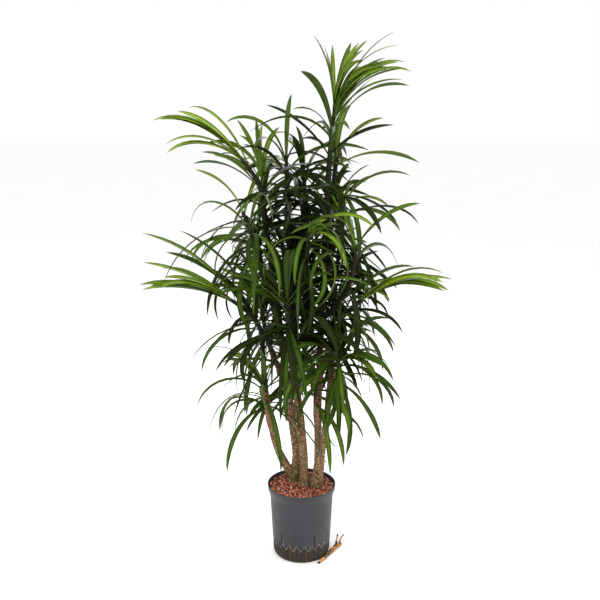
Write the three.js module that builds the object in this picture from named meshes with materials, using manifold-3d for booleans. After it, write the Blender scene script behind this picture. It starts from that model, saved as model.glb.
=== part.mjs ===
// A potted dragon tree with narrow green leaves: three trunks in a hydroculture pot of clay granules, two of
// them forked, bare side boughs, and a mass of strap leaves round the end of every shoot.
// Millimetres, +Z up, X to the right and Y to the back as seen from the front. The origin is the centre of the
// pot's underside. Azimuths are degrees from +X towards +Y: 180 is left, 270 is the front and 90 is the back.

import * as THREE from "three";
import { mergeVertices } from "three/addons/utils/BufferGeometryUtils.js";
import Module from "manifold-3d";

const wasm = await Module();
wasm.setup();

// Driving dimensions
const CLEAR = 0.3; // gap between neighbouring pieces
const SEED = 25;

const POT = {
  height: 195,
  rimRadius: 90,
  bandRadius: 88.3, // foot of the upright rim band
  bandFoot: 181,
  shoulderRadius: 83, // where the flared collar meets the tapered wall
  shoulder: 160,
  heelRadius: 75.5, // top of the rounded heel
  heel: 18,
  heelBulge: 2, // how far the heel's middle stands out of the straight line from foot to heel
  footRadius: 69,
  wall: 2.5,
  floor: 3,
  sides: 32,
};
const SLOT = { width: 2.6, foot: 45, height: 34, fromFront: [-42, 25, 59] }; // and again half a turn round
const FILL = { top: 186, gap: 0.5, bump: 1.9, rings: [0, 22, 43, 62, 79] };
const FOOT = { flare: 3.2, flareHeight: 16 }; // a cane swells by the flare at its foot, and less and less above

// A piece of root that has grown out at the pot's front right, lies round its foot and stands up at one end
const ROOT = {
  rest: 0.6, // its underside above the floor
  girth: [[0, 2.4], [0.3, 5], [0.8, 5], [1, 3]],
  line: [[44, -75], [56, -59], [67.5, -41], [80, -19], [94, 4], [108, 17]],
  sides: 6,
  steps: 8,
  rootlets: [
    { from: 0.83, to: [99, 11, 38] },
    { from: 0.94, to: [115, 10, 37] },
  ],
  rootletRadii: [2.6, 1.1],
};

const LEAF = {
  length: 262,
  width: 25,
  thickness: 3.4,
  pitch: 8.2, // leafy stem for each leaf
  ground: 100, // the lowest tips stay this far above the pot
  crowded: 0.38, // share of the length along which a mass's own leaves may touch
  tries: 9, // places tried for each leaf before it is left out
  rings: [[0, 0.16], [0.3, 1], [0.66, 0.74], [1, 0]], // share of the length and of the width
};
const TURN = 137.508; // degrees of azimuth from one leaf to the next
const SPINE = { tipRadius: 4, sides: 4, steps: 2 };
const CANE = { sides: 9, steps: 10 };
const BOUGH = { radius: 7.6, tipRadius: 6.4, sides: 6, steps: 3 };

// Each cane runs from its foot through its waypoints, and its girth gives radii by height. A cane that stands
// on another starts inside it.
const CANES = {
  left_cane: {
    girth: [[178, 13], [225, 12.4], [262, 9.6], [860, 6.6]],
    line: [[-23, 27, 178], [-14, 30, 255], [-23, 30, 340], [-42, 31, 500], [-88, 38, 860]],
  },
  left_low_cane: {
    on: "left_cane",
    girth: [[196, 11], [262, 10.2], [305, 8.2], [345, 7], [600, 6]],
    line: [[-22, 27, 196], [-62, 12, 283], [-82, -2, 370], [-94, -14, 480], [-99, -26, 600]],
  },
  middle_cane: {
    girth: [[178, 11.4], [425, 9.6], [925, 6.6]],
    line: [[8, 3, 178], [5, 2, 270], [0, 0, 340], [-15, 2, 480], [-34, 28, 925]],
  },
  right_cane: {
    girth: [[178, 14], [240, 13], [285, 8.4], [600, 6.4]],
    line: [[38, -4, 178], [46, -8, 245], [59, -11, 320], [68, -13, 410], [82, -21, 600]],
  },
  right_tall_cane: {
    on: "right_cane",
    girth: [[236, 8.4], [1000, 6.6]],
    line: [[43, -4, 236], [43, 8, 310], [44, 11, 400], [50, 6, 640], [65, 0, 1000]],
  },
};

// Each shoot leaves its cane at a height, or goes on from the cane's tip. Its bough runs out and up on an
// azimuth. Its leafy stem heads for an azimuth, leans from the vertical and has a length. Its leaves may have
// a spread, reach and sag of their own, as shares of the common ones, or be pulled towards the azimuth drift.
const SHOOTS = [
  { name: "crown_right", cane: "right_tall_cane",
    head: 10, lean: 5, length: 164, spread: 0.58, sag: 0.9, drift: 5, pull: 0.6 },
  { name: "crown_left", cane: "middle_cane",
    head: 185, lean: 2, length: 122, spread: 0.85, reach: 0.86 },
  { name: "upper_left_inner", cane: "left_cane",
    head: 180, lean: 5, length: 126, spread: 0.7, reach: 0.84 },
  { name: "left_low", cane: "left_low_cane",
    head: 200, lean: 38, length: 132, spread: 0.55, sag: 0.72, reach: 1.07, drift: 185, pull: 0.7 },
  { name: "right_low", cane: "right_cane",
    head: 335, lean: 36, length: 126, spread: 0.52, sag: 1.02, reach: 1.1, drift: 355, pull: 0.7 },
  { name: "crown_second", cane: "right_tall_cane", from: 850, azimuth: 60, out: 26, up: 75,
    head: 10, lean: 8, length: 125, spread: 0.85, reach: 0.9 },
  { name: "upper_left", cane: "left_cane", from: 820, azimuth: 255, out: 46, up: 126,
    head: 190, lean: 28, length: 106, spread: 0.52, drift: 180, pull: 0.7 },
  { name: "left_mid", cane: "left_cane", from: 705, azimuth: 243, out: 80, up: 105,
    head: 200, lean: 20, length: 115, drift: 185, pull: 0.25 },
  { name: "front_mid", cane: "middle_cane", from: 700, azimuth: 287, out: 108, up: 80,
    head: 290, lean: 16, length: 104, sag: 1.2, reach: 0.92, drift: 330, pull: 0.3 },
  { name: "right_upper", cane: "right_tall_cane", from: 745, azimuth: 40, out: 34, up: 75,
    head: 15, lean: 12, length: 110, reach: 0.85 },
  { name: "right_mid", cane: "right_tall_cane", from: 640, azimuth: 318, out: 76, up: 78,
    head: 340, lean: 12, length: 120, reach: 0.9 },
  { name: "left_skirt", cane: "left_low_cane", from: 345, azimuth: 255, out: 30, up: 42,
    head: 235, lean: 10, length: 95, reach: 0.88 },
  { name: "right_skirt", cane: "right_cane", from: 415, azimuth: 325, out: 24, up: 55,
    head: 280, lean: 10, length: 95, reach: 0.8 },
  { name: "front_skirt", cane: "right_tall_cane", from: 350, azimuth: 262, out: 48, up: 50,
    head: 270, lean: 10, length: 90, reach: 0.82 },
  { name: "centre_skirt", cane: "middle_cane", from: 325, azimuth: 232, out: 42, up: 50,
    head: 240, lean: 10, length: 90, reach: 0.88 },
  { name: "front_low", cane: "middle_cane", from: 515, azimuth: 262, out: 78, up: 80,
    head: 250, lean: 12, length: 115, reach: 0.92 },
  { name: "back_top", cane: "middle_cane", from: 780, azimuth: 68, out: 84, up: 85,
    head: 80, lean: 10, length: 120, spread: 0.9, reach: 0.9 },
  { name: "back_right", cane: "right_tall_cane", from: 690, azimuth: 80, out: 100, up: 82,
    head: 60, lean: 12, length: 125, reach: 0.9 },
  { name: "back_left", cane: "left_cane", from: 630, azimuth: 115, out: 88, up: 90,
    head: 140, lean: 14, length: 125, reach: 0.89 },
  { name: "back_mid", cane: "middle_cane", from: 560, azimuth: 85, out: 110, up: 85,
    head: 90, lean: 14, length: 120, reach: 0.9 },
  { name: "left_back_low", cane: "left_cane", from: 460, azimuth: 130, out: 70, up: 78,
    head: 155, lean: 14, length: 110, reach: 0.82 },
  { name: "right_back_low", cane: "right_tall_cane", from: 480, azimuth: 66, out: 74, up: 78,
    head: 45, lean: 14, length: 110, reach: 0.82 },
  { name: "back_skirt", cane: "left_cane", from: 350, azimuth: 78, out: 58, up: 52,
    head: 90, lean: 16, length: 90, reach: 0.82 },
];

const COLOURS = {
  pot: new THREE.MeshStandardMaterial({ color: 0x4b4c50, roughness: 0.6, metalness: 0 }),
  granules: new THREE.MeshStandardMaterial({ color: 0x9c4b37, roughness: 0.95, metalness: 0 }),
  bark: new THREE.MeshStandardMaterial({ color: 0x8d6e54, roughness: 0.9, metalness: 0 }),
  root: new THREE.MeshStandardMaterial({ color: 0xb9793f, roughness: 0.8, metalness: 0 }),
  leaf: new THREE.MeshStandardMaterial({ color: 0x2f5a1c, roughness: 0.45, metalness: 0 }),
};

// Small helpers
const radians = THREE.MathUtils.degToRad;
const mix = THREE.MathUtils.lerp;
const vec = (p) => new THREE.Vector3(...p);
const level = (azimuth) => new THREE.Vector3(Math.cos(radians(azimuth)), Math.sin(radians(azimuth)), 0);
const UP = new THREE.Vector3(0, 0, 1);
const FRONT = 270;
const BACK = 90;

// A repeatable number from 0 to 1 for a pair of whole numbers.
function chance(a, b) {
  const s = Math.sin(a * 127.1 + b * 311.7 + SEED) * 43758.5453;
  return s - Math.floor(s);
}

function solid(geometry) {
  const bare = new THREE.BufferGeometry().setAttribute("position", geometry.attributes.position);
  const merged = mergeVertices(bare.setIndex(geometry.index), 1e-3);
  return new wasm.Manifold(
    new wasm.Mesh({
      numProp: 3,
      vertProperties: merged.attributes.position.array,
      triVerts: new Uint32Array(merged.index.array),
    }),
  );
}

// The largest body of a joined solid: scraps are dropped and sealed hollows are filled.
function oneBody(joined) {
  return joined.decompose().reduce((best, body) => (body.volume() > best.volume() ? body : best));
}

// A named mesh of a joined solid, standing in its group at its own root point, to the nearest millimetre
function meshOf(name, manifold, material, rootPoint = new THREE.Vector3()) {
  const root = rootPoint.clone().round();
  const { vertProperties, triVerts } = manifold.getMesh();
  const geometry = new THREE.BufferGeometry()
    .setAttribute("position", new THREE.BufferAttribute(vertProperties, 3))
    .setIndex(new THREE.BufferAttribute(triVerts, 1))
    .translate(-root.x, -root.y, -root.z);
  geometry.computeVertexNormals();
  const mesh = new THREE.Mesh(geometry, material);
  mesh.name = name;
  mesh.position.copy(root);
  return mesh;
}

// A closed turned shape from [radius, height] pairs, standing on Z.
function turned(profile, sides = POT.sides) {
  const points = profile.map(([r, z]) => new THREE.Vector2(r, z));
  return new THREE.LatheGeometry(points, sides).rotateX(Math.PI / 2);
}

// Moves a unit cylinder's or cone's points: place gives the new point for a share of its height and two
// section coordinates.
function bent(geometry, place) {
  const points = geometry.attributes.position;
  for (let i = 0; i < points.count; i++) {
    const p = place(points.getY(i) + 0.5, points.getX(i), points.getZ(i));
    points.setXYZ(i, p.x, p.y, p.z);
  }
  return geometry;
}

// A round limb along a curve, with a flat cut at each end. The first ring lies level where flatFoot says so.
function limb(curve, radiusAt, sides, steps, flatFoot = false) {
  const { tangents, normals, binormals } = curve.computeFrenetFrames(steps, false);
  return bent(new THREE.CylinderGeometry(1, 1, 1, sides, steps), (t, x, z) => {
    const i = Math.round(t * steps);
    const r = radiusAt(t);
    const point = curve.getPointAt(t);
    point.addScaledVector(binormals[i], x * r).addScaledVector(normals[i], z * r);
    if (flatFoot && i === 0) {
      const climb = (point.z - curve.getPointAt(0).z) / tangents[0].z;
      point.addScaledVector(tangents[0], -climb);
    }
    return point;
  });
}

// The pot's outside from its foot to its rim
function potProfile() {
  const { height, rimRadius, bandRadius, bandFoot, shoulderRadius, shoulder } = POT;
  const { heelRadius, heel, footRadius } = POT;
  const heelMiddle = [mix(footRadius, heelRadius, 0.5) + POT.heelBulge, heel * 0.38];
  return [
    [footRadius, 0],
    heelMiddle,
    [heelRadius, heel],
    [shoulderRadius, shoulder],
    [bandRadius, bandFoot],
    [rimRadius, height],
  ];
}

const wallRadius = (z) => along(potProfile().map(([r, height]) => [height, r]), z);

// The wall's inside, or a shape standing inside it, from the floor to the top
function innerProfile(inset, floor, top) {
  const heights = [POT.heel, POT.shoulder, POT.bandFoot, top];
  return [[POT.footRadius - inset, floor], ...heights.map((z) => [wallRadius(z) - inset, z])];
}

function potSolid() {
  const inner = innerProfile(POT.wall, POT.floor, POT.height);
  let pot = solid(turned([[0, 0], ...potProfile(), ...inner.reverse(), [0, POT.floor]]));
  for (const angle of SLOT.fromFront)
    for (const side of [FRONT, BACK]) {
      const cutter = new THREE.BoxGeometry(14, SLOT.width, SLOT.height)
        .translate(wallRadius(SLOT.foot), 0, SLOT.foot + SLOT.height / 2)
        .rotateZ(radians(side + angle));
      pot = pot.subtract(solid(cutter));
    }
  return pot;
}

// The clay granules: a fill with an uneven top and a pocket for each cane's foot
function fillSolid() {
  const outer = innerProfile(POT.wall + FILL.gap, POT.floor + CLEAR, FILL.top);
  const top = [...FILL.rings].reverse().map((r) => [r, FILL.top]);
  const geometry = turned([[0, POT.floor + CLEAR], ...outer, ...top]);
  const points = geometry.attributes.position;
  for (let i = 0; i < points.count; i++) {
    const r = Math.hypot(points.getX(i), points.getY(i));
    const inside = r <= FILL.rings.at(-1) + 1 && points.getZ(i) > FILL.top - 1;
    if (!inside) continue;
    const bump = FILL.bump * (2 * chance(Math.round(points.getX(i)), Math.round(points.getY(i))) - 1);
    points.setZ(i, FILL.top + bump);
  }
  const planted = Object.values(CANES).filter((cane) => !cane.on);
  return planted.reduce((fill, cane) => fill.subtract(pocketSolid(cane)), solid(geometry));
}

function rootSolid() {
  const last = ROOT.line.length - 1;
  const points = ROOT.line.map(([x, y], i) => vec([x, y, along(ROOT.girth, i / last) + ROOT.rest]));
  const main = new THREE.CatmullRomCurve3(points, false, "centripetal");
  let root = solid(limb(main, (t) => along(ROOT.girth, t), ROOT.sides, ROOT.steps));
  for (const { from, to } of ROOT.rootlets) {
    const start = main.getPointAt(from);
    const tip = vec(to);
    const elbow = new THREE.Vector3(start.x, start.y, mix(start.z, tip.z, 0.6));
    const curve = new THREE.QuadraticBezierCurve3(start, elbow, tip);
    root = root.add(solid(limb(curve, (t) => mix(...ROOT.rootletRadii, t), 5, 3)));
  }
  const keepOut = potProfile().map(([r, z]) => [r + CLEAR, z]);
  return oneBody(root.subtract(solid(turned([[0, 0], ...keepOut, [0, POT.height]]))));
}

function caneCurve(cane) {
  return new THREE.CatmullRomCurve3(cane.line.map(vec), false, "centripetal");
}

// The value at x of a line through [x, value] pairs
function along(pairs, x) {
  const next = pairs.findIndex(([at], i) => i > 0 && at >= x);
  const i = next < 0 ? pairs.length - 1 : next;
  const [x0, v0] = pairs[i - 1];
  const [x1, v1] = pairs[i];
  return mix(v0, v1, (x - x0) / (x1 - x0));
}

function caneRadius(cane, curve, grow = 0) {
  return (t) => {
    const z = curve.getPointAt(t).z;
    const flare = cane.on ? 0 : FOOT.flare * Math.exp((cane.line[0][2] - z) / FOOT.flareHeight);
    return along(cane.girth, z) + flare + grow;
  };
}

function caneSolid(cane, grow = 0) {
  const curve = caneCurve(cane);
  return solid(limb(curve, caneRadius(cane, curve, grow), CANE.sides, CANE.steps, !cane.on));
}

// The room for a cane's foot in the granules, clear of it all round and below
function pocketSolid(cane) {
  const [[x, y, z], ...rest] = cane.line;
  return caneSolid({ ...cane, line: [[x, y, z - CLEAR], ...rest] }, CLEAR);
}

function pointAtHeight(curve, z) {
  let low = 0;
  let high = 1;
  for (let i = 0; i < 30; i++) {
    const middle = (low + high) / 2;
    if (curve.getPointAt(middle).z < z) low = middle;
    else high = middle;
  }
  return curve.getPointAt(low);
}

// Where a shoot's bare bough runs, and where its leafy stem runs
function shootLines(shoot) {
  const cane = caneCurve(CANES[shoot.cane]);
  const heading = level(shoot.head)
    .multiplyScalar(Math.sin(radians(shoot.lean)))
    .addScaledVector(UP, Math.cos(radians(shoot.lean)));
  let neck = cane.getPointAt(1);
  let before = cane.getTangentAt(1);
  let bough = null;
  if (shoot.from) {
    const joint = pointAtHeight(cane, shoot.from);
    neck = joint.clone().addScaledVector(level(shoot.azimuth), shoot.out).addScaledVector(UP, shoot.up);
    const elbow = joint.clone().lerp(neck, 0.5).addScaledVector(level(shoot.azimuth), shoot.out * 0.16);
    bough = new THREE.QuadraticBezierCurve3(joint, elbow, neck);
    before = bough.getTangentAt(1);
  }
  const start = neck.clone().addScaledVector(before, CLEAR);
  const tip = start.clone().addScaledVector(heading, shoot.length);
  const middle = start.clone().addScaledVector(before, shoot.length * 0.4);
  const spine = new THREE.QuadraticBezierCurve3(start, middle, tip);
  return { bough, spine };
}

const boughRadius = (t) => mix(BOUGH.radius, BOUGH.tipRadius, t);
const spineRadius = (t) => mix(BOUGH.tipRadius, SPINE.tipRadius, t);

// Room: which places are taken, as balls in a grid whose cells are wider than any two balls' radii together
const CELL = 26;
const taken = new Map();
const cellOf = (v) => Math.floor(v / CELL);

function take({ point, radius }, owner) {
  const key = point.toArray().map(cellOf).join();
  if (!taken.has(key)) taken.set(key, []);
  taken.get(key).push({ point, radius, owner });
}

// Whether a ball touches nothing, leaving out what belongs to one owner
function isFree({ point, radius }, owner) {
  const [cx, cy, cz] = point.toArray().map(cellOf);
  for (let x = cx - 1; x <= cx + 1; x++)
    for (let y = cy - 1; y <= cy + 1; y++)
      for (let z = cz - 1; z <= cz + 1; z++)
        for (const ball of taken.get([x, y, z].join()) ?? [])
          if (ball.owner !== owner && ball.point.distanceTo(point) < ball.radius + radius) return false;
  return true;
}

// Balls along the straight stretches between a limb's rings
function takeLimb(curve, radiusAt, steps, owner) {
  for (let i = 0; i < steps; i++) {
    const [t0, t1] = [i / steps, (i + 1) / steps];
    const [a, b] = [curve.getPointAt(t0), curve.getPointAt(t1)];
    const count = Math.ceil(a.distanceTo(b) / 6);
    for (let k = 0; k <= count; k++) {
      const radius = mix(radiusAt(t0), radiusAt(t1), k / count) + 1;
      take({ point: a.clone().lerp(b, k / count), radius }, owner);
    }
  }
}

// A strap leaf: its middle line arches over in an upright plane. Old leaves bend over near the stem, and young
// ones stay straight for longer.
function leafAt(shoot, spine, index, count, number, tries) {
  const jitter = (k) => 2 * chance(number * 101 + index, k + tries * 13) - 1;
  const up = 1 - (index + 0.5) / count; // 1 is the youngest leaf, at the tip
  const place = mix(0.06, 0.985, up);
  const axis = spine.getTangentAt(place);
  const spin = radians(index * TURN + number * 40 + jitter(1) * 12 + tries * 31);
  const side = new THREE.Vector3().crossVectors(axis, level(shoot.head)).normalize();
  const front = new THREE.Vector3().crossVectors(side, axis).normalize();
  const outward = front.multiplyScalar(Math.cos(spin)).addScaledVector(side, Math.sin(spin));
  const open = radians((mix(104, 14, up ** 0.7) + jitter(2) * 8) * (shoot.spread ?? 1));
  const start = axis.clone().multiplyScalar(Math.cos(open)).addScaledVector(outward, Math.sin(open));
  const flat = new THREE.Vector3(start.x, start.y, 0);
  if (shoot.drift !== undefined) flat.addScaledVector(level(shoot.drift), shoot.pull);
  if (flat.length() < 0.05) flat.copy(outward).setZ(0);
  const swell = Math.sin(Math.PI * up);
  return {
    root: spine.getPointAt(place),
    heading: flat.normalize(),
    rise: Math.asin(THREE.MathUtils.clamp(start.z, -1, 1)),
    sag: radians((68 + 34 * swell) * (shoot.sag ?? 1) + jitter(3) * 12),
    bend: mix(0.85, 1.7, up),
    length: LEAF.length * (shoot.reach ?? 1) * (mix(0.84, 0.74, up) + 0.22 * swell + jitter(4) * 0.07),
    roll: radians(Math.sign(jitter(5)) * mix(14, 38, Math.abs(jitter(6)))),
  };
}

// The leaf's section at each of its rings: the middle, the way across, the way down and half the width
function leafSections(leaf) {
  const parts = 50;
  const line = [leaf.root];
  for (let i = 0; i < parts; i++) {
    const angle = leaf.rise - leaf.sag * ((i + 0.5) / parts) ** leaf.bend;
    const step = leaf.heading.clone().multiplyScalar(Math.cos(angle)).addScaledVector(UP, Math.sin(angle));
    line.push(line[i].clone().addScaledVector(step, leaf.length / parts));
  }
  return LEAF.rings.map(([reach, width]) => {
    const i = Math.round(reach * parts);
    const ahead = line[Math.min(i + 1, parts)].clone().sub(line[Math.max(i - 1, 0)]).normalize();
    const across = new THREE.Vector3().crossVectors(UP, leaf.heading).applyAxisAngle(ahead, leaf.roll);
    return { reach, at: line[i], across, down: across.clone().cross(ahead), half: (width * LEAF.width) / 2 };
  });
}

// Three rows of balls that fill the leaf's width all along
function leafBalls(sections) {
  const balls = [];
  for (let i = 1; i < sections.length; i++) {
    const [a, b] = [sections[i - 1], sections[i]];
    const count = Math.ceil(a.at.distanceTo(b.at) / 5);
    for (let k = 1; k <= count; k++) {
      const half = mix(a.half, b.half, k / count);
      const across = a.across.clone().lerp(b.across, k / count);
      for (const row of half > 4 ? [-1, 0, 1] : [0]) {
        const point = a.at.clone().lerp(b.at, k / count).addScaledVector(across, (row * half * 2) / 3);
        balls.push({ point, radius: Math.max(half / 3 + 0.7, 2.7), reach: mix(a.reach, b.reach, k / count) });
      }
    }
  }
  return balls;
}

// A mass's own leaves may stand close near the stem; all else must be clear.
function leafFits(balls, owner) {
  const lowest = POT.height + LEAF.ground;
  return balls.every((ball) => ball.point.z > lowest && isFree(ball, ball.reach < LEAF.crowded ? owner : null));
}

function leafSolid(sections) {
  const steps = sections.length - 1;
  return solid(
    bent(new THREE.ConeGeometry(1, 1, 3, steps), (t, x, z) => {
      const { at, across, down, half } = sections[Math.round(t * steps)];
      const widen = t < 1 ? 1 / (1 - t) : 0;
      return at
        .clone()
        .addScaledVector(across, (x * widen * half) / Math.sin(Math.PI / 3))
        .addScaledVector(down, (z * widen * LEAF.thickness) / 1.5);
    }),
  );
}

// The masses take their leaves in turn from the tip down, so that none crowds its neighbours out.
function growLeaves(shoots) {
  for (let index = 0; index < Math.max(...shoots.map(({ count }) => count)); index++)
    for (const grown of shoots) {
      const { shoot, number, spine, count, leaves } = grown;
      for (let tries = 0; index < count && tries < LEAF.tries; tries++) {
        const sections = leafSections(leafAt(shoot, spine, index, count, number, tries));
        const balls = leafBalls(sections);
        if (!leafFits(balls, shoot.name)) continue;
        for (const ball of balls) take(ball, shoot.name);
        leaves.push(sections);
        break;
      }
    }
}

function makePot() {
  const pot = new THREE.Group();
  pot.add(meshOf("pot", potSolid(), COLOURS.pot));
  pot.add(meshOf("granules", fillSolid(), COLOURS.granules));
  pot.add(meshOf("stray_root", rootSolid(), COLOURS.root));
  return pot;
}

function makeCanes() {
  const canes = new THREE.Group();
  for (const [name, cane] of Object.entries(CANES)) {
    const curve = caneCurve(cane);
    takeLimb(curve, caneRadius(cane, curve), CANE.steps, name);
    const whole = caneSolid(cane);
    const cut = cane.on ? oneBody(whole.subtract(caneSolid(CANES[cane.on], CLEAR))) : whole;
    canes.add(meshOf(name, cut, COLOURS.bark, curve.getPointAt(0)));
  }
  return canes;
}

function makeCrown() {
  const crown = new THREE.Group();
  const shoots = SHOOTS.map((shoot, number) => {
    const count = Math.round(shoot.length / LEAF.pitch);
    return { shoot, number, count, leaves: [], ...shootLines(shoot) };
  });
  for (const { shoot, bough, spine } of shoots) {
    if (bough) takeLimb(bough, boughRadius, BOUGH.steps, `${shoot.name}_bough`);
    takeLimb(spine, spineRadius, SPINE.steps, shoot.name);
  }
  growLeaves(shoots);
  for (const { shoot, bough, spine, leaves } of shoots) {
    if (bough) {
      const whole = solid(limb(bough, boughRadius, BOUGH.sides, BOUGH.steps));
      const cut = oneBody(whole.subtract(caneSolid(CANES[shoot.cane], CLEAR)));
      crown.add(meshOf(`${shoot.name}_bough`, cut, COLOURS.bark, bough.getPointAt(0)));
    }
    const stem = solid(limb(spine, spineRadius, SPINE.sides, SPINE.steps));
    const mass = oneBody(leaves.reduce((joined, sections) => joined.add(leafSolid(sections)), stem));
    crown.add(meshOf(`${shoot.name}_leaves`, mass, COLOURS.leaf, spine.getPointAt(0)));
  }
  return crown;
}

const plant = new THREE.Group();
plant.add(makePot(), makeCanes(), makeCrown());

export default plant;
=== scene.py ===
"""A potted dragon tree: a grey pot of clay granules, ringed trunks and boughs, and narrow arching leaves.

The plant's sizes are millimetres, as in the part's source. They become metres when a mesh is made.
Noise, bumps, lamps and the floor are in metres from the start.
Azimuths are degrees from +X towards +Y: 180 is left, 270 is the front and 90 is the back.
"""

import math
from dataclasses import dataclass
from types import SimpleNamespace as Sizes

import bmesh
import bpy
import numpy as np
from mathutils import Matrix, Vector, noise
from numpy.linalg import norm


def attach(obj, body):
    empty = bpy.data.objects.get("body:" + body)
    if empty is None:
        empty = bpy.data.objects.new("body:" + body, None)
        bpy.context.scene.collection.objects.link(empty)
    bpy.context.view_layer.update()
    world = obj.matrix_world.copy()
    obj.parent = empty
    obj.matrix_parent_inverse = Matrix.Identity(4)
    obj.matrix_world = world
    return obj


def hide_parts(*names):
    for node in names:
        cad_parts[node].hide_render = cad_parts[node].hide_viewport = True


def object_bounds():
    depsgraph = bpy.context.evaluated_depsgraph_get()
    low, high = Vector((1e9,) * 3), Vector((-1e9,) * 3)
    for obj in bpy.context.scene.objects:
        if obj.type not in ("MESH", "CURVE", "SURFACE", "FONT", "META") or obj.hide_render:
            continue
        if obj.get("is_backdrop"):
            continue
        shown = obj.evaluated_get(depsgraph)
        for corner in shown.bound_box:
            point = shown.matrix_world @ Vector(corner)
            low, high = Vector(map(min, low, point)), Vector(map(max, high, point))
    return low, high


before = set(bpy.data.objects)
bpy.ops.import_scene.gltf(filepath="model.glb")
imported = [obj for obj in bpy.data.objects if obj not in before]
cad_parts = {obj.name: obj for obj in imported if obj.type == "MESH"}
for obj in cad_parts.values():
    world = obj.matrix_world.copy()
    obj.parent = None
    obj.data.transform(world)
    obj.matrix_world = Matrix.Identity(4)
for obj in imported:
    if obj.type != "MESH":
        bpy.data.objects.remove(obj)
solid_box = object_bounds()

MM = 0.001
SEED = 25
UP = np.array([0.0, 0.0, 1.0])
FRONT = 270
BACK = 90

# The photo's view: where the camera stands, how far it looks down, and its lens
VIEW = Sizes(aside=-4, distance=1900, height=1112, pitch=12.5, lens=46.4, sensor=36)

POT = Sizes(
    height=195, rim_radius=90, band_radius=88.3, band_foot=181, shoulder_radius=83, shoulder=160, waist=100,
    heel_radius=75.5, heel=18, heel_bulge=4, foot_radius=69, wall=2.5, floor=3, sides=180, crease=35,
)
# The small steps at the pot's top. The ledge under the band is [out, up].
RIM = Sizes(ledge=(0.5, 0.8), tuck=0.25, tuck_drop=3, edge_drop=1.4, lip=1.2, inside_drop=7)
SLOT = Sizes(width=2.6, foot=45, height=34, reach=7, from_front=(-42, 25, 59))
# The moulded line round the pot, with its section in shares of half its width and of how proud it is
ZIGZAG = Sizes(
    teeth=24, turn=5.9, valley=34, peak=50, roundness=1.35, steps_per_tooth=24, width=0.85, proud=0.2,
    section=((-1, -0.4), (-0.7, 1), (0.7, 1), (1, -0.4)),
)
STAIN = (48, 34)  # the height where the pot's stain begins, and where it is full

FILL_TOP = 186
CHIP = Sizes(
    spacing=3.9, scatter=0.3, size=2.45, sizes=(0.7, 1.2), reach=83.5, overhang=1.6, bump=0.16,
    heap=1.3, heap_width=24, unevenness=0.9,
)
# Coarse granules that fill the gaps below, then the ones that show
CHIP_LAYERS = (
    Sizes(subdivisions=1, above_fill=-1.6, apart=1.05),
    Sizes(subdivisions=2, above_fill=0.9, apart=1),
)

ROOT = Sizes(
    rest=0.6,
    girth=((0, 2.4), (0.3, 4.9), (0.84, 5.3), (1, 4)),
    line=((44, -75), (56, -59), (67.5, -41), (80, -19), (94, 4), (108, 17)),
    ring_gap=1.2,
    rootlets=((0.83, (99, 11, 38)), (0.94, (115, 10, 37))),
    rootlet_radii=(3.4, 1.6),
    hairs=(0.2, 0.34, 0.47, 0.58, 0.7, 0.78, 0.9),
    hair_radii=(0.9, 0.4),
    hair_lengths=(7, 10),
    hair_lowest=1.2,
)

FOOT = Sizes(flare=3.2, height=16)
# Each trunk's girth is [height, radius]. One whose line starts above the fill forks off another trunk.
CANES = {
    "left_cane": Sizes(
        girth=((178, 13), (225, 12.4), (262, 9.6), (860, 6.6)),
        line=((-23, 27, 178), (-14, 30, 255), (-23, 30, 340), (-42, 31, 500), (-88, 38, 860)),
    ),
    "left_low_cane": Sizes(
        girth=((196, 11), (262, 10.2), (305, 8.2), (345, 7), (600, 6)),
        line=((-22, 27, 196), (-62, 12, 283), (-82, -2, 370), (-94, -14, 480), (-99, -26, 600)),
    ),
    "middle_cane": Sizes(
        girth=((178, 11.4), (425, 9.6), (925, 6.6)),
        line=((8, 3, 178), (5, 2, 270), (0, 0, 340), (-15, 2, 480), (-34, 28, 925)),
    ),
    "right_cane": Sizes(
        girth=((178, 14), (240, 13), (285, 8.4), (600, 6.4)),
        line=((38, -4, 178), (46, -8, 245), (59, -11, 320), (68, -13, 410), (82, -21, 600)),
    ),
    "right_tall_cane": Sizes(
        girth=((236, 8.4), (1000, 6.6)),
        line=((43, -4, 236), (43, 8, 310), (44, 11, 400), (50, 6, 640), (65, 0, 1000)),
    ),
}
BOUGH = Sizes(radius=7.6, tip_radius=6.4, bow=0.16)
# Leaves stand from the foot of a stem to its top, closer together further up.
STEM = Sizes(tip_radius=4, bow=0.4, top=0.985, crowding=0.66)

# Sides and gap are the mesh's. Pitch, around and depth are the scars': how far apart, how many and how deep.
CANE_BARK = Sizes(sides=30, gap=1.6, pitch=13, around=3, depth=1, first_seed=0)
BOUGH_BARK = Sizes(sides=20, gap=1.8, pitch=9, around=2, depth=0.6, first_seed=9)
STEM_BARK = Sizes(sides=14, gap=3, pitch=7, around=2, depth=0.5, first_seed=40)
# How high lens-shaped scars, fine rings and broad lumps stand, in shares of the bark's depth
SCARS = Sizes(lens=0.9, lens_level=0.45, ring=0.16, ring_pitch=3.1, lump=0.7, level=0.8)
# The heights where the bark begins to turn mossy, red or dark with painted shade inside the crown, and where
# it is fully so
BARK_BANDS = Sizes(moss=(270, 200), red=(270, 400), shaded=(420, 580))

# A leaf that would run into a limb, or hang lower than this over the rim, is turned and tried again.
LEAF = Sizes(length=262, width=12.5, thickness=0.6, pitch=1.5, over_rim=100, tries=7, parts=44)
TURN = 137.508  # degrees from one leaf to the next
RETRY_TURN = 31
SHOOT_TURN = 40  # degrees from one shoot's first leaf to the next one's

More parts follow.
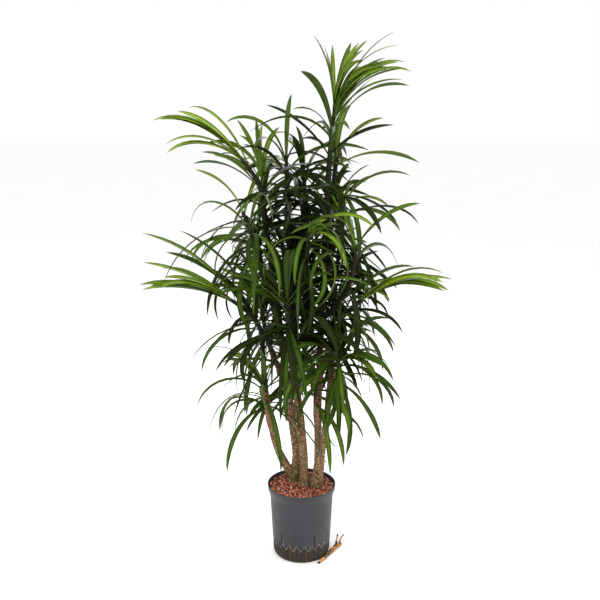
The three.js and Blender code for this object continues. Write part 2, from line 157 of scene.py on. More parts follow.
# Each is [for a shoot's oldest leaf, for its youngest], and the angles are degrees. Opening is the angle
# between the leaf and its stem. A higher bend keeps the sag nearer the tip.
GROWTH = Sizes(opening=(104, 14), sag=(66, 58), bend=(0.6, 1.7), length=(0.84, 0.7), pull=(0.4, 1.2))
LEAST_BEND = 0.4
PULL = Sizes(most=2.4, less=0.5)  # unlucky leaves aren't pulled at all
# What leaves of middle age have more of
SWELL = Sizes(sag=30, length=0.22)
# How far chance moves each of these either way. A kind's place in this list numbers its draws.
VARIETY = {
    "spin": 40, "opening": 25, "sag": 34, "length": 0.15, "facing": 1, "roll": 1, "tone": 0.12, "curl": 34,
    "bend": 0.5,
}
# What keeps draws apart: for each try and shoot, and for other things
DRAWS = Sizes(per_try=13, per_shoot=101, width=500, luck=700, kept=900)
WIDTHS_DRAWN = (0.8, 1.2)
ROLL = (26, 64)  # the least and the most that a leaf rolls about its rib
SIDE_ROLL = 0.6  # how far a leaf that points sideways turns its upper face to the front

# Width and fold from root to tip: [share of length, share of width], [share of length, degrees]
WIDTHS = ((0, 0.55), (0.1, 0.6), (0.3, 0.86), (0.5, 0.98), (0.68, 1), (0.82, 0.82), (0.92, 0.5), (1, 0.04))
FOLDS = ((0, 40), (0.15, 30), (0.5, 17), (1, 8))
RINGS = np.array([0, 0.06, 0.14, 0.23, 0.32, 0.41, 0.5, 0.59, 0.68, 0.77, 0.85, 0.93, 1])
RIB = 0.34  # the rib's share of the width

# How far a leaf keeps from limbs and from its own stem. It is tested at places from a share of its length on,
# and against its own stem from a later one.
CLEAR = Sizes(limb=4, stem=3, start=0.16, tests=18, own_start=4)

# Fewer leaves grow where their tips stand far out, except the youngest: by_reach is [distance, share].
THINNING = Sizes(by_reach=((120, 1), (250, 0.6), (360, 0.25)), young=0.78, young_share=0.8)
# So that the trunks show, only a few steep leaves come within this reach of the middle below this height.
BARE = Sizes(height=500, reach=78, share=0.4, fall=-0.75, fall_at=0.7)
OUTER = np.linspace(0.4, 1, 12)  # places on a leaf, by share of its length
# Where the photo shows sky through the crown, seen in the plane y = 0.
# Each is [x, z, half its width, half its height, share of the leaves kept there].
OPENINGS = (
    (-4, 1135, 50, 95, 0.3),
    (192, 1040, 52, 190, 0.25),
    (192, 830, 50, 60, 0.55),
    (-199, 985, 56, 52, 0.14),
    (-293, 1040, 52, 90, 0.33),
    (296, 672, 56, 62, 0.1),
    (-212, 625, 55, 80, 0.5),
    (-107, 480, 55, 50, 0.55),
)


@dataclass
class Shoot:
    """A stem of leaves at the end of a trunk or bough, and how they grow: 1 is the usual rate"""

    name: str
    cane: str
    head: float  # the azimuth that its stem leans to
    lean: float  # degrees from upright
    length: float
    light: float  # how much of it stands in the sun, given to its leaves' colour as painted light
    bough: tuple = None  # height where it leaves the trunk, azimuth, how far out and how far up it goes
    age: float = 0.5  # how much lighter young leaves are than old ones
    fill: float = 1  # the share of leaves that grow, over 1 where it makes up for thinning
    old: float = 1  # the same for all but the young
    spread: float = 1  # how far leaves open from the stem
    sag: float = 1
    bend: float = 1
    loose: float = 1.1  # what chance does to opening and sag
    stiff: float = 0  # how straight some young leaves stay
    reach: float = 1  # the leaves' length
    broad: float = 1  # their width
    drift: float = None  # the azimuth that they are drawn over to
    pull: float = 0  # how strongly


# Places, headings and lengths are those in the part's source.
SHOOTS = (
    Shoot("crown_right", "right_tall_cane",
          head=10, lean=5, length=164, light=1, fill=0.66, old=0.85, spread=0.58,
          sag=0.9, loose=0.8, stiff=0.4, reach=0.93, broad=1.08, drift=5, pull=0.6),
    Shoot("crown_left", "middle_cane",
          head=185, lean=2, length=122, light=0.7, fill=0.52, spread=0.85, reach=0.86),
    Shoot("upper_left_inner", "left_cane",
          head=180, lean=5, length=126, light=0.7, fill=0.42, spread=0.7, reach=0.84),
    Shoot("left_low", "left_low_cane",
          head=200, lean=38, length=132, light=0.9, fill=0.56, old=0.65, spread=0.38,
          sag=0.62, loose=0.5, reach=1.07, broad=1.15, drift=185, pull=0.7),
    Shoot("right_low", "right_cane",
          head=335, lean=36, length=126, light=1, fill=0.85, old=0.6, spread=0.32,
          sag=0.93, loose=0.35, reach=1.14, broad=1.15, drift=355, pull=0.7),
    Shoot("crown_second", "right_tall_cane", bough=(850, 60, 26, 75),
          head=10, lean=8, length=125, light=0.4, fill=0.6, spread=0.85, reach=0.9),
    Shoot("upper_left", "left_cane", bough=(820, 255, 46, 126),
          head=190, lean=28, length=106, light=1.4, fill=1.1, old=0.4, spread=0.32,
          sag=0.86, loose=0.35, broad=1.1, drift=180, pull=0.7),
    Shoot("left_mid", "left_cane", bough=(705, 243, 80, 105),
          head=200, lean=20, length=115, light=0.9, fill=1.2, sag=0.98, drift=185, pull=0.45),
    Shoot("front_mid", "middle_cane", bough=(700, 287, 108, 80),
          head=290, lean=16, length=104, light=0.6, fill=0.36, sag=1.9, bend=0.55,
          reach=0.76, drift=330, pull=0.3),
    Shoot("right_upper", "right_tall_cane", bough=(745, 40, 34, 75),
          head=15, lean=12, length=110, light=0.25, fill=0.52, reach=0.85),
    Shoot("right_mid", "right_tall_cane", bough=(640, 318, 76, 78),
          head=340, lean=12, length=120, light=0.25, fill=0.66, reach=0.9),
    Shoot("left_skirt", "left_low_cane", bough=(345, 255, 30, 42),
          head=235, lean=10, length=95, light=0.3, age=0.2, sag=1.26, reach=0.96),
    Shoot("right_skirt", "right_cane", bough=(415, 325, 24, 55),
          head=280, lean=10, length=95, light=0.3, age=0.2, fill=0.85, sag=1.1, reach=0.8),
    Shoot("front_skirt", "right_tall_cane", bough=(350, 262, 48, 50),
          head=270, lean=10, length=90, light=0.3, age=0.2, fill=0.85, sag=1.1, reach=0.82),
    Shoot("centre_skirt", "middle_cane", bough=(325, 232, 42, 50),
          head=240, lean=10, length=90, light=0.3, age=0.2, fill=0.85, sag=1.1, reach=0.88),
    Shoot("front_low", "middle_cane", bough=(515, 262, 78, 80),
          head=250, lean=12, length=115, light=0.2, age=0.3, fill=0.85, sag=1.06, reach=0.92),
    Shoot("back_top", "middle_cane", bough=(780, 68, 84, 85),
          head=80, lean=10, length=120, light=0.4, fill=0.6, spread=0.9, reach=0.9),
    Shoot("back_right", "right_tall_cane", bough=(690, 80, 100, 82),
          head=60, lean=12, length=125, light=0.4, fill=0.6, reach=0.9),
    Shoot("back_left", "left_cane", bough=(630, 115, 88, 90),
          head=140, lean=14, length=125, light=0.4, fill=0.6, reach=0.89),
    Shoot("back_mid", "middle_cane", bough=(560, 85, 110, 85),
          head=90, lean=14, length=120, light=0.3, reach=0.9),
    Shoot("left_back_low", "left_cane", bough=(460, 130, 70, 78),
          head=155, lean=14, length=110, light=0.35, sag=1.1, reach=0.82),
    Shoot("right_back_low", "right_tall_cane", bough=(480, 66, 74, 78),
          head=45, lean=14, length=110, light=0.35, sag=1.1, reach=0.82),
    Shoot("back_skirt", "left_cane", bough=(350, 78, 58, 52),
          head=90, lean=16, length=90, light=0.2, reach=0.82),
)


# Small helpers
def mix(a, b, t):
    return a + (b - a) * t


def unit(v):
    return v / norm(v)


def level(azimuth):
    """The heading of an azimuth"""
    angle = math.radians(azimuth)
    return np.array([math.cos(angle), math.sin(angle), 0.0])


def read_off(pairs, x):
    """The value at x of a line through [x, value] pairs, which goes on straight past its ends"""
    xs, values = zip(*pairs)
    i = min(max(int(np.searchsorted(xs, x)), 1), len(xs) - 1)
    return mix(values[i - 1], values[i], (x - xs[i - 1]) / (xs[i] - xs[i - 1]))


def chance(a, b):
    """A repeatable number from 0 to 1 for a pair of whole numbers"""
    s = math.sin(a * 127.1 + b * 311.7 + SEED) * 43758.5453
    return s - math.floor(s)


class Line:
    """A curve through close points, read by the share of its length"""

    def __init__(self, points):
        self.points = np.asarray(points, float)
        self.far = np.append(0, np.cumsum(norm(np.diff(self.points, axis=0), axis=1)))
        self.length = self.far[-1]

    def at(self, share):
        where = np.asarray(share) * self.length
        return np.stack([np.interp(where, self.far, self.points[:, k]) for k in range(3)], axis=-1)

    def heading(self, share):
        nearby = 0.004
        return unit(self.at(min(share + nearby, 1)) - self.at(max(share - nearby, 0)))

    def at_height(self, z):
        return self.at(np.interp(z, self.points[:, 2], self.far) / self.length)


def centripetal(points, steps=30):
    """A centripetal Catmull-Rom curve through the points"""
    p = np.array(points, float)
    p = np.vstack([2 * p[0] - p[1], p, 2 * p[-1] - p[-2]])
    line = [p[1]]
    for a, b, c, d in zip(p, p[1:], p[2:], p[3:]):
        ab, bc, cd = (norm(step) ** 0.5 for step in (b - a, c - b, d - c))
        out = bc * ((b - a) / ab - (c - a) / (ab + bc) + (c - b) / bc)
        into = bc * ((c - b) / bc - (d - b) / (bc + cd) + (d - c) / cd)
        for t in np.linspace(0, 1, steps + 1)[1:]:
            turn = 2 * t**3 - 3 * t**2
            line.append((turn + 1) * b + (t**3 - 2 * t**2 + t) * out - turn * c + (t**3 - t**2) * into)
    return Line(line)


def bezier_points(start, middle, end, steps):
    t = np.linspace(0, 1, steps + 1)[:, None]
    return (1 - t) ** 2 * start + 2 * t * (1 - t) * middle + t**2 * end


def bezier(start, middle, end, steps=40):
    return Line(bezier_points(start, middle, end, steps))


def add_object(name, data):
    made = bpy.data.objects.new(name, data)
    bpy.context.scene.collection.objects.link(made)
    return made


class Pile:
    """Many small shapes, joined into one mesh"""

    def __init__(self):
        self.points = []
        self.groups = []
        self.count = 0

    def add(self, points, *groups):
        """Takes a shape's points, and its faces in groups of [faces, material number]"""
        self.points.append(points)
        self.groups += [(faces + self.count, slot) for faces, slot in groups]
        self.count += len(points)

    def add_closed(self, points, quads, triangles):
        """Takes what closed_rings gives, all in the first material"""
        self.add(points, (quads, 0), (triangles, 0))

    def piece(self, name, materials, crease=None):
        """One object of all the shapes, smooth except at edges sharper than the crease"""
        mesh = bpy.data.meshes.new(name)
        faces = [face for group, _ in self.groups for face in group.tolist()]
        slots = np.concatenate([np.full(len(group), slot, np.int32) for group, slot in self.groups])
        mesh.from_pydata((np.concatenate(self.points) * MM).tolist(), [], faces)
        mesh.polygons.foreach_set("material_index", slots)
        mesh.shade_smooth()
        if crease:
            mesh.set_sharp_from_angle(angle=math.radians(crease))
        for material in materials:
            mesh.materials.append(material)
        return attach(add_object(name, mesh), "root")


def grid_faces(rows, columns, ring=False):
    """Quads over a grid of points, which closes on itself across where it is a ring"""
    row = np.arange(rows - 1)[:, None] * columns
    column = np.arange(columns if ring else columns - 1)[None, :]
    after = (column + 1) % columns
    corners = (row + column, row + after, row + columns + after, row + columns + column)
    return np.stack([c.ravel() for c in np.broadcast_arrays(*corners)], axis=1)


def closed_rings(rings, first, last):
    """A closed shape through rings of points and one more point at each end: points, quads, triangles"""
    count, sides, _ = rings.shape
    ring = np.arange(sides)
    after = (ring + 1) % sides
    last_ring = (count - 1) * sides
    middle = count * sides
    foot = np.stack([after, ring, np.full(sides, middle)], axis=1)
    head = np.stack([last_ring + ring, last_ring + after, np.full(sides, middle + 1)], axis=1)
    points = np.vstack([rings.reshape(-1, 3), first, last])
    return points, grid_faces(count, sides, ring=True), np.vstack([foot, head])


def tube(line, radius_at, sides, gap, relief=None):
    """A closed tube along a line. Relief raises its surface by distance along, angle and middle point."""
    count = max(4, int(line.length / gap))
    shares = np.linspace(0, 1, count + 1)
    centres = line.at(shares)
    ahead = np.array([line.heading(s) for s in shares])
    side = np.cross(ahead[0], level(20))  # any azimuth that the line doesn't start along
    sideways = []
    for heading in ahead:
        side = unit(side - heading * (side @ heading))
        sideways.append(side)
    sideways = np.array(sideways)
    other = np.cross(ahead, sideways)
    angles = np.arange(sides) * 2 * math.pi / sides
    radii = np.array([radius_at(s) for s in shares])[:, None] * np.ones(sides)
    if relief:
        radii = radii + relief(shares[:, None] * line.length, angles[None, :], centres)
    out = np.cos(angles)[None, :, None] * sideways[:, None] + np.sin(angles)[None, :, None] * other[:, None]
    return closed_rings(centres[:, None] + out * radii[..., None], centres[0], centres[-1])


def turned(profile, sides):
    """A closed shape turned about the vertical axis from [radius, height] pairs, the first and last on it"""
    ring_rows = np.array(profile[1:-1], float)
    angles = np.arange(sides) * 2 * math.pi / sides
    spokes = np.stack([np.cos(angles), np.sin(angles)], axis=1)
    heights = np.repeat(ring_rows[:, None, 1:], sides, axis=1)
    rings = np.concatenate([ring_rows[:, None, :1] * spokes, heights], axis=2)
    return closed_rings(rings, (0, 0, profile[0][1]), (0, 0, profile[-1][1]))


def rough(point, size, seed=0):
    """Smooth noise from -1 to 1 with lumps of a size in millimetres"""
    return noise.noise(Vector(point) / size + Vector((seed * 7.3, seed * 3.1, 0)))


# Materials
def rgb(red, green, blue):
    """A colour for a shader from what the eye reads, from 0 to 255"""
    shares = [c / 255 for c in (red, green, blue)]
    return [c / 12.92 if c <= 0.04045 else ((c + 0.055) / 1.055) ** 2.4 for c in shares] + [1.0]


class Finish:
    """A material, made up of noise and ramps"""

    def __init__(self, name, roughness, specular=0.5):
        self.material = bpy.data.materials.new(name)
        self.material.use_nodes = True
        self.nodes = self.material.node_tree.nodes
        self.shader = self.nodes["Principled BSDF"]
        self.shader.inputs["Roughness"].default_value = roughness
        self.shader.inputs["Specular IOR Level"].default_value = specular
        self.place = self.node("TexCoord").outputs["Object"]

    def node(self, kind, inputs=(), **settings):
        """A new shader node with its settings, and each input linked or set"""
        made = self.nodes.new("ShaderNode" + kind)
        for key, value in settings.items():
            setattr(made, key, value)
        for key, value in dict(inputs).items():
            if isinstance(value, bpy.types.NodeSocket):
                self.material.node_tree.links.new(value, made.inputs[key])
            else:
                made.inputs[key].default_value = value
        return made

    def link(self, output, name):
        self.material.node_tree.links.new(output, self.shader.inputs[name])

    def stretched(self, scale):
        return self.node("Mapping", {"Vector": self.place, "Scale": scale}).outputs["Vector"]

    def noise(self, scale, detail=4.0, place=None, distortion=0.0):
        inputs = {"Vector": place or self.place, "Scale": scale, "Detail": detail, "Distortion": distortion}
        return self.node("TexNoise", inputs).outputs["Fac"]

    def ranged(self, value, low, high, to_low=0.0, to_high=1.0):
        """The value, moved from the range between low and high to another, and kept within it"""
        inputs = {"Value": value, 1: low, 2: high, 3: to_low, 4: to_high}
        return self.node("MapRange", inputs).outputs["Result"]

    def height(self):
        return self.node("SeparateXYZ", {"Vector": self.place}).outputs["Z"]

    def by_height(self, begins, full):
        """From 0 where a band of the surface begins to 1 where it is full, by heights in millimetres"""
        return self.ranged(self.height(), begins * MM, full * MM)

    def plus(self, a, b):
        return self.node("Math", {0: a, 1: b}, operation="ADD").outputs["Value"]

    def times(self, a, b):
        return self.node("Math", {0: a, 1: b}, operation="MULTIPLY").outputs["Value"]

    def ramp(self, value, *stops):
        """Colours at [position, colour] stops along a value"""
        made = self.node("ValToRGB", {"Fac": value})
        ends = made.color_ramp.elements
        while len(ends) < len(stops):
            ends.new(0.5)
        for end, (position, colour) in zip(ends, stops):
            end.position = position
            end.color = colour
        return made.outputs["Color"]

    def mixed(self, share, one, other):
        inputs = {"Factor": share, 6: one, 7: other}
        return self.node("Mix", inputs, data_type="RGBA").outputs[2]

    def bump(self, height, strength, distance):
        inputs = {"Height": height, "Strength": strength, "Distance": distance}
        self.link(self.node("Bump", inputs).outputs["Normal"], "Normal")


def plain_material(name, dark, light, scale, roughness, bump=0.2, depth=0.0005):
    """One colour that wanders between two shades, over a fine uneven surface"""
    made = Finish(name, roughness)
    made.link(made.ramp(made.noise(scale, 5), (0.3, dark), (0.7, light)), "Base Color")
    made.bump(made.noise(scale * 8, 4), bump, depth)
    return made.material


def pot_material():
    """Matt moulded plastic with a faint vertical drag, scuffed, and stained below the waterline"""
    made = Finish("pot_plastic", 0.5, specular=0.45)
    streaks = made.noise(20, 6, made.stretched((6, 6, 0.5)))
    clouds = made.noise(14, 5)
    clean = made.ramp(clouds, (0.3, rgb(34, 35, 39)), (0.7, rgb(45, 45, 50)))
    stain = made.ramp(
        streaks,
        (0.3, rgb(8, 6, 2)),
        (0.42, rgb(42, 33, 14)),
        (0.52, rgb(14, 12, 5)),
        (0.62, rgb(52, 36, 14)),
        (0.74, rgb(116, 62, 24)),
    )
    wavering = made.ranged(made.noise(70, 5, made.stretched((1, 1, 0.15))), 0.3, 0.7, -0.018, 0.014)
    begins, full = STAIN
    low = made.ranged(made.plus(made.height(), wavering), begins * MM, full * MM)
    patchy = made.ranged(made.noise(40, 5), 0.3, 0.62, 0.7, 1.0)
    made.link(made.mixed(made.times(low, patchy), clean, stain), "Base Color")
    scuffs = made.ranged(made.noise(120, 3), 0, 1, 0.38, 0.56)
    made.link(made.plus(scuffs, made.times(low, 0.35)), "Roughness")
    made.bump(made.noise(900, 2, made.stretched((1, 1, 0.12))), 0.18, 0.0004)
    return made.material


def bark_material():
    """Mottled bark of olive and tan flecks between dark pits: mossy at the foot, redder above, darker higher
    up with painted shade
    """
    made = Finish("bark", 0.85, specular=0.2)
    flecks = made.noise(170, 6, made.stretched((1, 1, 2.5)), distortion=0.5)
    tan = made.ramp(
        flecks,
        (0.32, rgb(46, 33, 18)),
        (0.45, rgb(98, 75, 49)),
        (0.56, rgb(134, 106, 78)),
        (0.7, rgb(184, 154, 126)),
    )
    red = made.ramp(
        flecks,
        (0.32, rgb(54, 31, 22)),
        (0.46, rgb(102, 66, 48)),
        (0.58, rgb(134, 95, 72)),
        (0.72, rgb(170, 134, 108)),
    )
    moss = made.ramp(
        flecks,
        (0.32, rgb(40, 38, 16)),
        (0.5, rgb(84, 80, 42)),
        (0.68, rgb(130, 118, 76)),
    )
    # Painted shade: near-black bark for the limbs inside the crown
    shaded = made.ramp(flecks, (0.32, rgb(16, 15, 8)), (0.7, rgb(44, 40, 24)))
    red_patches = made.times(made.ranged(made.noise(26, 3), 0.42, 0.58), made.by_height(*BARK_BANDS.red))
    moss_patches = made.times(made.by_height(*BARK_BANDS.moss), made.ranged(made.noise(34, 3), 0.35, 0.6))
    in_light = made.mixed(moss_patches, made.mixed(red_patches, tan, red), moss)
    made.link(made.mixed(made.by_height(*BARK_BANDS.shaded), in_light, shaded), "Base Color")
    made.bump(made.noise(300, 6, made.stretched((1, 1, 2.4))), 0.7, 0.0015)
    return made.material


def leaf_material(name, colour, roughness, specular):
    """A satin leaf of one colour, a little lighter and darker by patches"""
    made = Finish(name, roughness, specular)
    darker = [c * 0.8 for c in colour[:3]] + [1]
    lighter = [c * 1.2 for c in colour[:3]] + [1]
    made.link(made.ramp(made.noise(22, 3), (0.3, darker), (0.7, lighter)), "Base Color")
    made.bump(made.noise(420, 3), 0.12, 0.0003)
    return made.material


def root_material():
    """A dry root: ochre and orange fibres, with patches of dark greenish brown"""
    made = Finish("dry_root", 0.85, specular=0.2)
    fibres = made.ramp(
        made.noise(150, 6, distortion=1.4),
        (0.3, rgb(62, 42, 28)),
        (0.43, rgb(128, 84, 46)),
        (0.55, rgb(198, 136, 70)),
        (0.68, rgb(214, 176, 132)),
    )
    crust = made.ramp(made.noise(240, 4), (0.35, rgb(30, 26, 16)), (0.65, rgb(78, 66, 42)))
    patches = made.ranged(made.noise(70, 4), 0.46, 0.56)
    made.link(made.mixed(patches, fibres, crust), "Base Color")
    made.bump(made.noise(420, 5), 0.7, 0.0014)
    return made.material


# Trunks and boughs
def scars(seed, bark):
    """The relief of a ringed limb: lens-shaped leaf scars in rows, fine rings and broad lumps"""

    def relief(far, angle, centres):
        row = far / bark.pitch + np.array([rough(c, 30, seed) for c in centres])[:, None] * 0.5
        turn = angle * bark.around / (2 * math.pi)
        lens = np.abs(np.sin(math.pi * (row + turn)) * np.sin(math.pi * (row - turn)))
        rings = np.sin(far * 2 * math.pi / SCARS.ring_pitch + 2.2 * np.sin(angle * 2 + far * 0.13))
        lumps = np.sin(angle * 2 + far * 0.045 + seed) * np.sin(far * 0.023 + seed * 2)
        height = SCARS.lens * (lens - SCARS.lens_level) + SCARS.ring * rings + SCARS.lump * lumps
        return bark.depth * (height + SCARS.level)

    return relief


def add_limb(pile, line, radius_at, bark, number):
    """Adds a limb to a pile, with its bark in relief. The number tells it from others of its kind."""
    relief = scars(bark.first_seed + number, bark)
    pile.add_closed(*tube(line, radius_at, bark.sides, bark.gap, relief))


def in_fill(cane):
    return cane.line[0][2] < FILL_TOP


def cane_radius(cane, line):
    """The radius by share of the length, with a flare at the foot of a trunk that stands in the granules"""
    foot = cane.line[0][2]

    def radius_at(share):
        z = line.at(share)[2]
        flare = FOOT.flare * math.exp((foot - z) / FOOT.height) if in_fill(cane) else 0
        return read_off(cane.girth, z) + flare

    return radius_at


def bough_radius(share):
    return mix(BOUGH.radius, BOUGH.tip_radius, share)


def stem_radius(share):
    return mix(BOUGH.tip_radius, STEM.tip_radius, share)


def shoot_lines(shoot):
    """A shoot's bare bough, where it has one, and its leafy stem"""
    cane = centripetal(CANES[shoot.cane].line)
    lean = math.radians(shoot.lean)
    heading = level(shoot.head) * math.sin(lean) + UP * math.cos(lean)
    neck = cane.at(1)
    before = cane.heading(1)
    bough = None
    if shoot.bough:
        height, azimuth, far_out, far_up = shoot.bough
        joint = cane.at_height(height)
        out = level(azimuth)
        neck = joint + out * far_out + UP * far_up
        bough = bezier(joint, (joint + neck) / 2 + out * far_out * BOUGH.bow, neck)
        before = bough.heading(1)
    bend = neck + before * shoot.length * STEM.bow
    return bough, bezier(neck, bend, neck + heading * shoot.length)


def make_limb(name, line, radius_at, bark, number, material):
    pile = Pile()
    add_limb(pile, line, radius_at, bark, number)
    piece = pile.piece(f"bark_{name}", [material])
    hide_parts(name)


def make_trunks_and_boughs(shoots, material):
    for number, (name, cane) in enumerate(CANES.items()):
        line = centripetal(cane.line)
        make_limb(name, line, cane_radius(cane, line), CANE_BARK, number, material)
    for number, (shoot, bough, _) in enumerate(shoots):
        if bough:
            make_limb(f"{shoot.name}_bough", bough, bough_radius, BOUGH_BARK, number, material)


def make_stems(shoots, material):
    pile = Pile()
    for number, (_, _, stem) in enumerate(shoots):
        add_limb(pile, stem, stem_radius, STEM_BARK, number)
    pile.piece("leafy_stems", [material])


# Leaves
def leaf_rule(shoot, number, stem, index, count, tries):
    """Where a leaf stands on its stem, and how it rises, sags, turns and rolls"""
    kinds = list(VARIETY)

    def moved(kind):
        draw = kinds.index(kind) + 1 + tries * DRAWS.per_try
        return (2 * chance(number * DRAWS.per_shoot + index, draw) - 1) * VARIETY[kind]

    up = 1 - (index + 0.5) / count
    swell = math.sin(math.pi * up)
    luck = chance(number + DRAWS.luck, index)
    place = STEM.top * up**STEM.crowding
    axis = stem.heading(place)
    spin = math.radians(index * TURN + number * SHOOT_TURN + moved("spin") + tries * RETRY_TURN)
    side = unit(np.cross(axis, level(shoot.head)))
    front = np.cross(side, axis)
    outward = front * math.cos(spin) + side * math.sin(spin)
    opening = (mix(*GROWTH.opening, up**0.7) + moved("opening") * shoot.loose) * shoot.spread
    start = axis * math.cos(math.radians(opening)) + outward * math.sin(math.radians(opening))

    flat = start * (1, 1, 0)
    if shoot.drift is not None:
        pull = shoot.pull * mix(*GROWTH.pull, up) * max(0, PULL.most * luck - PULL.less)
        flat = flat + level(shoot.drift) * pull
    if norm(flat) < 0.05:
        flat = outward * (1, 1, 0)
    flat = unit(flat)

    sag = (mix(*GROWTH.sag, up) + SWELL.sag * swell) * shoot.sag + moved("sag") * shoot.loose
    straight = shoot.stiff * up * (1 - luck)
    length = mix(*GROWTH.length, up) + SWELL.length * swell + moved("length")
    facing = moved("facing") + SIDE_ROLL * flat[0]
    return Sizes(
        up=up,
        root=stem.at(place),
        flat=flat,
        rise=math.asin(max(-1, min(1, start[2]))),
        sag=math.radians(sag) * (1 - straight),
        bend=max(LEAST_BEND, mix(*GROWTH.bend, up) + moved("bend")) * shoot.bend,
        curl=math.radians(moved("curl")),
        length=LEAF.length * shoot.reach * length,
        roll=math.radians(math.copysign(mix(*ROLL, abs(moved("roll"))), facing)),
        tone=moved("tone"),
    )


def leaf_line(leaf):
    """The leaf's middle line, which bends over ever more towards its tip and curls a little to one side"""
    parts = LEAF.parts
    shares = (np.arange(parts) + 0.5) / parts
    angle = leaf.rise - leaf.sag * shares ** leaf.bend
    turn = leaf.curl * shares**1.4
    sideways = np.cross(UP, leaf.flat)
    flat = leaf.flat * np.cos(turn)[:, None] + sideways * np.sin(turn)[:, None]
    steps = flat * np.cos(angle)[:, None] + UP * np.sin(angle)[:, None]
    return Line(leaf.root + np.vstack([np.zeros(3), np.cumsum(steps, axis=0) * leaf.length / parts]))


def leaf_blade(leaf, line):
    """A closed leaf folded along its rib: points, and faces of the blade, rib, underside and ends"""
    middle = line.at(RINGS)
    ahead = np.array([line.heading(s) for s in RINGS])
    across = np.cross(UP, leaf.flat) * np.ones((len(RINGS), 1))
    across -= ahead * (across * ahead).sum(axis=1, keepdims=True)
    across /= norm(across, axis=1)[:, None]
    rise = np.cross(ahead, across)
    roll = (leaf.roll * mix(0.3, 1, RINGS))[:, None]
    across, rise = across * np.cos(roll) + rise * np.sin(roll), rise * np.cos(roll) - across * np.sin(roll)
    half = np.array([read_off(WIDTHS, s) for s in RINGS])[:, None] * LEAF.width * leaf.broad / 2
    fold = np.radians([read_off(FOLDS, s) for s in RINGS])[:, None]
    columns = []
    for u in (-1, -RIB, RIB, 1):
        columns.append(middle + across * u * half * np.cos(fold) + rise * abs(u) * half * np.sin(fold))
    columns.append(middle - rise * LEAF.thickness)
    around = len(columns)
    points = np.stack(columns, axis=1).reshape(-1, 3)
    faces = grid_faces(len(RINGS), around, ring=True).reshape(len(RINGS) - 1, around, 4)[:, :, ::-1]
    blade = faces[:, [0, 2]].reshape(-1, 4)
    rib = faces[:, 1]
    under = faces[:, [3, 4]].reshape(-1, 4)
    first = np.arange(around)
    last = (len(RINGS) - 1) * around + first[::-1]
    return points, blade, rib, under, np.stack([first, last])


def limb_balls(shoots):
    """Points along every limb and stem, each with its radius and the number of its shoot, -1 if it is bare"""

    def along(line, radius_at, count=16, number=-1):
        return [(*line.at(s), radius_at(s), number) for s in np.linspace(0, 1, count)]

    rows = []
    for cane in CANES.values():
        line = centripetal(cane.line)
        rows += along(line, cane_radius(cane, line), count=90)
    for number, (_, bough, stem) in enumerate(shoots):
        if bough:
            rows += along(bough, bough_radius)
        rows += along(stem, stem_radius, number=number)
    return np.array(rows)


def crosses(line, number, balls):
    """Whether a leaf runs into a limb, or into its own stem past its root"""
    points = line.at(np.linspace(CLEAR.start, 1, CLEAR.tests))
    apart = norm(points[:, None] - balls[None, :, :3], axis=2) - balls[:, 3]
    own = balls[:, 4] == number
    return (apart[:, ~own] < CLEAR.limb).any() or (apart[CLEAR.own_start :, own] < CLEAR.stem).any()


def share_in_openings(line):
    """The least share kept in the openings that the outer part of a leaf crosses in the photo's view"""
    points = line.at(OUTER)
    nearer = VIEW.distance / (VIEW.distance + points[:, 1])
    x = points[:, 0] * nearer
    z = VIEW.height + (points[:, 2] - VIEW.height) * nearer
    share = 1
    for middle, height, half_width, half_height, kept in OPENINGS:
        if (((x - middle) / half_width) ** 2 + ((z - height) / half_height) ** 2 < 1).any():
            share = min(share, kept)
    return share


def grows(shoot, leaf, line, luck):
    """Whether this leaf is one of those that the crown keeps"""
    out = norm(line.points[:, :2], axis=1)
    share = read_off(THINNING.by_reach, out[-1])
    if leaf.up > THINNING.young:
        share = max(share, THINNING.young_share)
    else:
        share *= shoot.old
    if ((line.points[:, 2] < BARE.height) & (out < BARE.reach)).any():
        share = BARE.share if line.heading(BARE.fall_at)[2] < BARE.fall else 0
    return luck < share * shoot.fill * share_in_openings(line)


def clear_leaf(shoot, number, stem, index, count, balls):
    """The first try at a leaf that runs into nothing and doesn't hang too low, if there is one"""
    for tries in range(LEAF.tries):
        leaf = leaf_rule(shoot, number, stem, index, count, tries)
        line = leaf_line(leaf)
        if line.points[-1, 2] > POT.height + LEAF.over_rim and not crosses(line, number, balls):
            return leaf, line
    return None, None


def grow_leaves(shoots):
    """Every leaf of the crown, with its shoot and its middle line"""
    balls = limb_balls(shoots)
    for number, (shoot, _, stem) in enumerate(shoots):
        count = round(shoot.length / LEAF.pitch)
        for index in range(count):
            leaf, line = clear_leaf(shoot, number, stem, index, count, balls)
            if leaf and grows(shoot, leaf, line, chance(number + DRAWS.kept, index)):
                leaf.broad = mix(*WIDTHS_DRAWN, chance(number + DRAWS.width, index)) * shoot.broad
                yield shoot, leaf, line


# Leaf colours from the youngest to the oldest, and the inner one, a painted shade, last: the blade, its rib
# and its underside
TONES = {
    "spring": (rgb(86, 111, 8), rgb(132, 155, 34), rgb(100, 122, 38)),
    "bright": (rgb(74, 98, 7), rgb(115, 139, 30), rgb(90, 111, 36)),
    "fresh": (rgb(64, 87, 6), rgb(100, 124, 26), rgb(80, 101, 32)),
    "green": (rgb(53, 76, 6), rgb(76, 98, 17), rgb(66, 86, 30)),
    "deep": (rgb(42, 63, 6), rgb(56, 77, 13), rgb(54, 72, 27)),
    "dark": (rgb(21, 32, 3), rgb(30, 43, 6), rgb(34, 45, 16)),
    "inner": (rgb(10, 18, 1), rgb(20, 30, 4), rgb(17, 24, 6)),
}
ROUGHNESS = {"leaf": 0.4, "rib": 0.45, "under": 0.55}
GLOSS = (0.2, 0.04)  # for the youngest tone and for the inner one
TONE_PLACE = 0.6  # the share of a leaf's length where its height and depth are read
# The inner tone, a painted shade, is for leaves between two heights and near the crown's middle, but not the
# young.
PAINTED_SHADE_CORE = Sizes(above=520, below=960, depth=85, young=0.6)
